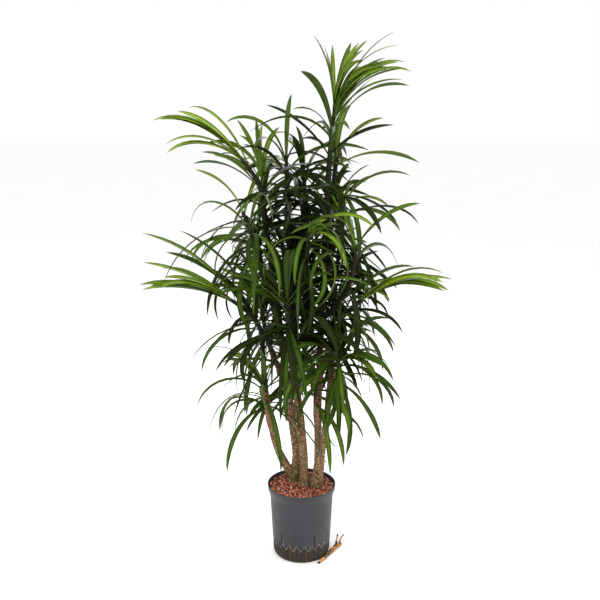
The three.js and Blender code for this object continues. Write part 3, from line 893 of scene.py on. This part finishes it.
# Leaves are lighter with youth, lighter with painted light and darker with painted shade. Low leaves get
# painted light for the light from the sides. Where that ends, going up, the leaves near the middle get
# painted shade.
PAINTED_SHADE = Sizes(low=-0.24, ends=420, over=250, middle=0.5, reach=140)
PAINTED_LIGHT = Sizes(share=0.4, old=0.35)


def tone_of(shoot, leaf, line):
    """The name of a leaf's tone, by its age and by painted light and shade: its shoot's light and how deep in
    the crown it is
    """
    *names, inner = TONES
    place = line.at(TONE_PLACE)
    height = place[2]
    depth = norm(place[:2])
    # Older leaves deep in the crown take the inner tone, a painted shade
    if PAINTED_SHADE_CORE.above < height < PAINTED_SHADE_CORE.below and depth < PAINTED_SHADE_CORE.depth and leaf.up < PAINTED_SHADE_CORE.young:
        return inner
    # Painted light: leaves of shoots that stand in the sun are lighter
    light = PAINTED_LIGHT.share * shoot.light * mix(PAINTED_LIGHT.old, 1, leaf.up)
    young = shoot.age * leaf.up ** 1.6 + light + leaf.tone
    # Painted shade near the middle higher up, and painted light for low leaves
    inside = min(max((height - PAINTED_SHADE.ends) / PAINTED_SHADE.over, 0), 1)
    painted_shade = mix(PAINTED_SHADE.low, PAINTED_SHADE.middle * max(0, 1 - depth / PAINTED_SHADE.reach), inside)
    return names[int(min(max((1 - young + painted_shade) * len(names), 0), len(names) - 1))]


def make_leaves(shoots):
    # Leaves are piled by tone, so the inner pile carries painted shade
    piles = {name: Pile() for name in TONES}
    for shoot, leaf, line in grow_leaves(shoots):
        points, blade, rib, under, ends = leaf_blade(leaf, line)
        piles[tone_of(shoot, leaf, line)].add(points, (blade, 0), (rib, 1), (under, 2), (ends, 2))
    masses = [f"{shoot.name}_leaves" for shoot, _, _ in shoots]
    for (name, pile), gloss in zip(piles.items(), np.linspace(*GLOSS, len(piles)).tolist()):
        materials = [
            leaf_material(f"{part}_{name}", colour, roughness, gloss)
            for (part, roughness), colour in zip(ROUGHNESS.items(), TONES[name])
        ]
        piece = pile.piece(f"leaves_{name}", materials, crease=50)
        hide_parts(*masses)


# Pot
def wall_radius(z):
    """The outer radius of the wall and band by height"""
    wall = ((POT.heel, POT.heel_radius), (POT.shoulder, POT.shoulder_radius))
    band = ((POT.band_foot, POT.band_radius), (POT.height, POT.rim_radius))
    return read_off(wall + band, z)


def heel_profile():
    """The rounded heel, from the foot to where the wall begins, as [radius, height] pairs"""
    foot = np.array([POT.foot_radius, 0.0])
    top = np.array([POT.heel_radius, POT.heel])
    middle = np.array([(foot[0] + top[0]) / 2 + POT.heel_bulge, POT.heel * 0.3])
    return bezier_points(foot, middle, top, 8).tolist()


def pot_profile():
    """The pot's outline from the middle of its underside, out, up and over the rim, and down inside"""
    height, wall, rim = POT.height, POT.wall, POT.rim_radius
    shoulder, band_foot, band = POT.shoulder, POT.band_foot, POT.band_radius
    ledge_out, ledge_up = RIM.ledge

    outer = heel_profile()
    outer += [(wall_radius(z), z) for z in np.linspace(POT.heel, shoulder, 24)[1:]]
    for t in (0.3, 0.6, 0.85):
        outer.append((mix(wall_radius(shoulder), band, t**1.4), mix(shoulder, band_foot, t)))
    outer += [(band, band_foot), (band + ledge_out, band_foot + ledge_up)]
    outer += [(rim - RIM.tuck, height - RIM.tuck_drop), (rim, height - RIM.edge_drop)]
    lip = [
        (rim - wall / 2 + wall / 2 * math.cos(angle), height - RIM.lip + RIM.lip * math.sin(angle))
        for angle in np.radians((30, 60, 90, 120, 150, 180))
    ]
    inner_heights = (height - RIM.inside_drop, band_foot, shoulder, POT.waist, POT.heel)
    inner = [(wall_radius(z) - wall, z) for z in inner_heights]
    inner.append((POT.foot_radius - wall, POT.floor))
    return [(0, 0), (POT.foot_radius * 0.9, 0.0), *outer, *lip, *inner, (0, POT.floor)]


def make_pot():
    pile = Pile()
    pile.add_closed(*turned(pot_profile(), POT.sides))
    pot = pile.piece("grey_pot", [pot_material()], crease=POT.crease)
    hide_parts("pot")
    cut_slots(pot)


def cut_slots(pot):
    """Six narrow slots low in the wall, three at the front and three behind"""
    reach = SLOT.reach
    cutters = Pile()
    corners = np.array([(x, y, z) for x in (-reach, reach) for y in (-0.5, 0.5) for z in (0, 1)], float)
    faces = np.array([(0, 1, 3, 2), (4, 6, 7, 5), (0, 4, 5, 1), (2, 3, 7, 6), (0, 2, 6, 4), (1, 5, 7, 3)])
    for start in (FRONT, BACK):
        for angle in SLOT.from_front:
            out = level(start + angle)
            across = level(start + angle + 90)
            box = out * (wall_radius(SLOT.foot) + corners[:, :1]) + across * corners[:, 1:2] * SLOT.width
            cutters.add(box + UP * (SLOT.foot + corners[:, 2:] * SLOT.height), (faces, 0))
    cutter = cutters.piece("slot_cutter", [])
    cut = pot.modifiers.new("slots", "BOOLEAN")
    cut.operation = "DIFFERENCE"
    cut.solver = "EXACT"
    cut.object = cutter
    bpy.context.view_layer.update()
    evaluated = pot.evaluated_get(bpy.context.evaluated_depsgraph_get())
    pot.data = bpy.data.meshes.new_from_object(evaluated)
    pot.modifiers.clear()
    bpy.data.objects.remove(cutter)
    pot.data.shade_smooth()
    pot.data.set_sharp_from_angle(angle=math.radians(POT.crease))


def zigzag_height(azimuth):
    """The moulded line's height: rounded peaks and sharper valleys"""
    phase = (azimuth - FRONT - ZIGZAG.turn) * ZIGZAG.teeth / 360
    swing = abs((phase + 0.5) % 1 - 0.5) * 2
    return mix(ZIGZAG.peak, ZIGZAG.valley, swing ** ZIGZAG.roundness)


def make_zigzag():
    """A fine raised line that runs round the wall in teeth"""
    steps = ZIGZAG.teeth * ZIGZAG.steps_per_tooth
    azimuths = np.arange(steps) * 360 / steps
    centres = np.array([level(a) * wall_radius(zigzag_height(a)) + UP * zigzag_height(a) for a in azimuths])
    ahead = np.roll(centres, -1, axis=0) - np.roll(centres, 1, axis=0)
    ahead /= norm(ahead, axis=1)[:, None]
    outward = np.array([level(a) for a in azimuths])
    across = np.cross(outward, ahead)
    half = ZIGZAG.width / 2
    section = ZIGZAG.section
    columns = [centres + across * half * u + outward * ZIGZAG.proud * h for u, h in section]
    points = np.stack(columns, axis=1).reshape(-1, 3)
    faces = grid_faces(steps + 1, len(section), ring=True) % len(points)
    pile = Pile()
    pile.add(points, (faces, 0))
    pale = plain_material("moulded_line", rgb(84, 82, 80), rgb(160, 160, 158), 60, roughness=0.5)
    piece = pile.piece("moulded_line", [pale], crease=40)


# Granules, by colour: its dark and light shades, and the share of granules that have it
CLAYS = {
    "brick": (rgb(100, 42, 28), rgb(150, 72, 50), 0.28),
    "orange": (rgb(158, 80, 50), rgb(206, 122, 90), 0.25),
    "rust": (rgb(40, 20, 14), rgb(78, 38, 28), 0.32),
    "rose": (rgb(182, 114, 92), rgb(230, 174, 152), 0.15),
}


def ball_shape(subdivisions):
    """The points and faces of an even ball of radius 1: 20 faces, or 80 with one more subdivision"""
    made = bmesh.new()
    bmesh.ops.create_icosphere(made, subdivisions=subdivisions, radius=1)
    made.verts.index_update()
    points = np.array([v.co[:] for v in made.verts])
    faces = np.array([[v.index for v in face.verts] for face in made.faces])
    made.free()
    return points, faces


def spun(points, rng):
    """The points turned a random way about the origin"""
    w, *axis = unit(rng.normal(size=4))
    return points + 2 * np.cross(axis, np.cross(axis, points) + w * points)


def chip_places(rng, spacing, reach):
    """Points on a jittered triangular grid within a circle"""
    count = int(reach / spacing) + 2
    columns = range(-count, count)
    rows = range(-count, count + 6)
    row_height = 0.866
    grid = np.array([(i + (j % 2) / 2, j * row_height) for i in columns for j in rows])
    places = grid * spacing + rng.uniform(-CHIP.scatter, CHIP.scatter, grid.shape) * spacing
    return places[norm(places, axis=1) < reach]


def make_chips():
    """Broken granules of burnt clay, heaped over the fill and packed round the trunks' feet"""
    rng = np.random.default_rng(SEED)
    feet = [(np.array(c.line[0][:2], float), c.girth[0][1]) for c in CANES.values() if in_fill(c)]
    piles = {name: Pile() for name in CLAYS}
    shares = [share for _, _, share in CLAYS.values()]
    for layer in CHIP_LAYERS:
        ball, faces = ball_shape(layer.subdivisions)
        height = FILL_TOP + layer.above_fill
        for place in chip_places(rng, CHIP.spacing * layer.apart, CHIP.reach):
            size = CHIP.size * rng.uniform(*CHIP.sizes)
            if any(norm(place - foot) < girth + FOOT.flare - 1 for foot, girth in feet):
                continue
            if norm(place) + size > CHIP.reach + CHIP.overhang:
                continue
            heap = CHIP.heap * rough((*place, 0), CHIP.heap_width)
            heap += rng.uniform(-CHIP.unevenness, CHIP.unevenness)
            bumpy = 1 + CHIP.bump * rng.normal(size=(len(ball), 1))
            grain = spun(ball * bumpy * rng.uniform((0.8, 0.7, 0.55), (1.25, 1.05, 0.9)), rng) * size
            clay = rng.choice(list(CLAYS), p=shares)
            piles[clay].add(grain + (*place, height + heap), (faces, 0))
    for name, pile in piles.items():
        dark, light, _ = CLAYS[name]
        material = plain_material(f"clay_{name}", dark, light, 260, roughness=0.9, bump=0.5, depth=0.0006)
        pile.piece(f"clay_chips_{name}", [material], crease=42)


def paint_shade_on_fill():
    """The solid fill keeps its shape and is coloured near black, a painted shade in the gaps between the
    granules
    """
    fill = plain_material("fill", rgb(26, 14, 10), rgb(54, 28, 22), 180, roughness=0.95)
    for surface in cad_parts["granules"].material_slots:
        surface.material = fill


# Stray root
def root_grain(depth):
    """The relief of a dry root: knots and long wrinkles, kept off its underside"""

    def relief(far, angle, centres):
        knots = np.array([rough(c, 9, 3) for c in centres])[:, None]
        wrinkles = np.sin(angle * 5 + far * 0.5) * 0.16 + np.sin(angle * 2 + far * 0.17) * 0.3
        proud = knots * 2.6 + wrinkles + 0.1
        return depth * (proud - np.maximum(0, np.cos(angle)) * np.maximum(0, proud))

    return relief


def root_limbs():
    """The root, its rootlets and its hairs: each one's line, radius by share, sides and depth of relief"""
    last = len(ROOT.line) - 1
    girth = ROOT.girth
    line = centripetal(
        [(x, y, read_off(girth, i / last) + ROOT.rest) for i, (x, y) in enumerate(ROOT.line)]
    )
    limbs = [(line, lambda s: read_off(girth, s), 24, 1)]

    thick, thin = ROOT.rootlet_radii
    for start, tip in ROOT.rootlets:
        foot = line.at(start)
        elbow = np.array([foot[0], foot[1], mix(foot[2], tip[2], 0.6)])
        limbs.append((bezier(foot, elbow, np.array(tip, float)), lambda s: mix(thick, thin, s), 12, 0.45))

    rng = np.random.default_rng(SEED)
    hair_foot, hair_tip = ROOT.hair_radii
    for share in ROOT.hairs:
        foot = line.at(share)
        out = unit(rng.normal(size=3) * (1, 1, 0.5) + (0.5, -0.3, 0.2))
        tip = foot + out * rng.uniform(*ROOT.hair_lengths)
        tip[2] = max(tip[2], ROOT.hair_lowest)
        hair = bezier(foot, foot + out * 3 + UP * 0.6, tip)
        limbs.append((hair, lambda s: mix(hair_foot, hair_tip, s), 6, 0))
    return limbs


def make_root():
    """A dry root with two rootlets that lies round the pot's foot"""
    pile = Pile()
    for line, radius_at, sides, depth in root_limbs():
        pile.add_closed(*tube(line, radius_at, sides, ROOT.ring_gap, root_grain(depth)))
    root = pile.piece("dry_root", [root_material()])
    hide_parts("stray_root")


# Stage
def make_floor():
    half = 60
    corners = [(-half, -half, 0), (half, -half, 0), (half, half, 0), (-half, half, 0)]
    mesh = bpy.data.meshes.new("floor")
    mesh.from_pydata(corners, [], [(0, 1, 2, 3)])
    pale = Finish("pale_floor", 0.9, specular=0.1)
    shades = ((0.3, [0.965, 0.965, 0.965, 1]), (0.7, [0.985, 0.985, 0.985, 1]))
    pale.link(pale.ramp(pale.noise(1.5, 2), *shades), "Base Color")
    mesh.materials.append(pale.material)
    add_object("floor", mesh)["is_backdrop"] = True


def make_world():
    world = bpy.data.worlds.new("studio")
    bpy.context.scene.world = world
    world.use_nodes = True
    backdrop = world.node_tree.nodes["Background"]
    backdrop.inputs["Color"].default_value = (1, 1, 1, 1)
    backdrop.inputs["Strength"].default_value = 1.0


def make_lamp(name, place, aim, size, power):
    """A round soft lamp that points at a place and doesn't show itself"""
    data = bpy.data.lights.new(name, "AREA")
    data.shape = "DISK"
    data.size = size
    data.energy = power
    lamp = add_object(name, data)
    lamp.location = place
    lamp.rotation_euler = (Vector(aim) - Vector(place)).to_track_quat("-Z", "Y").to_euler()
    lamp.visible_camera = False


def make_camera():
    data = bpy.data.cameras.new("view")
    data.lens = VIEW.lens
    data.sensor_width = VIEW.sensor
    camera = add_object("view", data)
    camera.location = [c * MM for c in (VIEW.aside, -VIEW.distance, VIEW.height)]
    camera.rotation_euler = (math.radians(90 - VIEW.pitch), 0, 0)
    bpy.context.scene.camera = camera


shoots = [(shoot, *shoot_lines(shoot)) for shoot in SHOOTS]
bark = bark_material()
make_pot()
make_zigzag()
make_trunks_and_boughs(shoots, bark)
make_stems(shoots, bark)
make_leaves(shoots)
make_chips()
make_root()
paint_shade_on_fill()

make_floor()
make_world()
make_lamp("key", place=(-1.3, -2.4, 2.9), aim=(0, 0, 0.75), size=1.3, power=70)
make_lamp("fill", place=(2.2, -1.6, 1.6), aim=(0, 0, 0.6), size=1.8, power=22)
make_lamp("back", place=(0.6, 2.2, 2.4), aim=(0, 0, 0.8), size=1.6, power=30)
make_camera()
bpy.context.scene.view_settings.view_transform = "Standard"

boxes = {"cad": solid_box, "visual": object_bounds()}
{name: [list(corner) for corner in box] for name, box in boxes.items()}
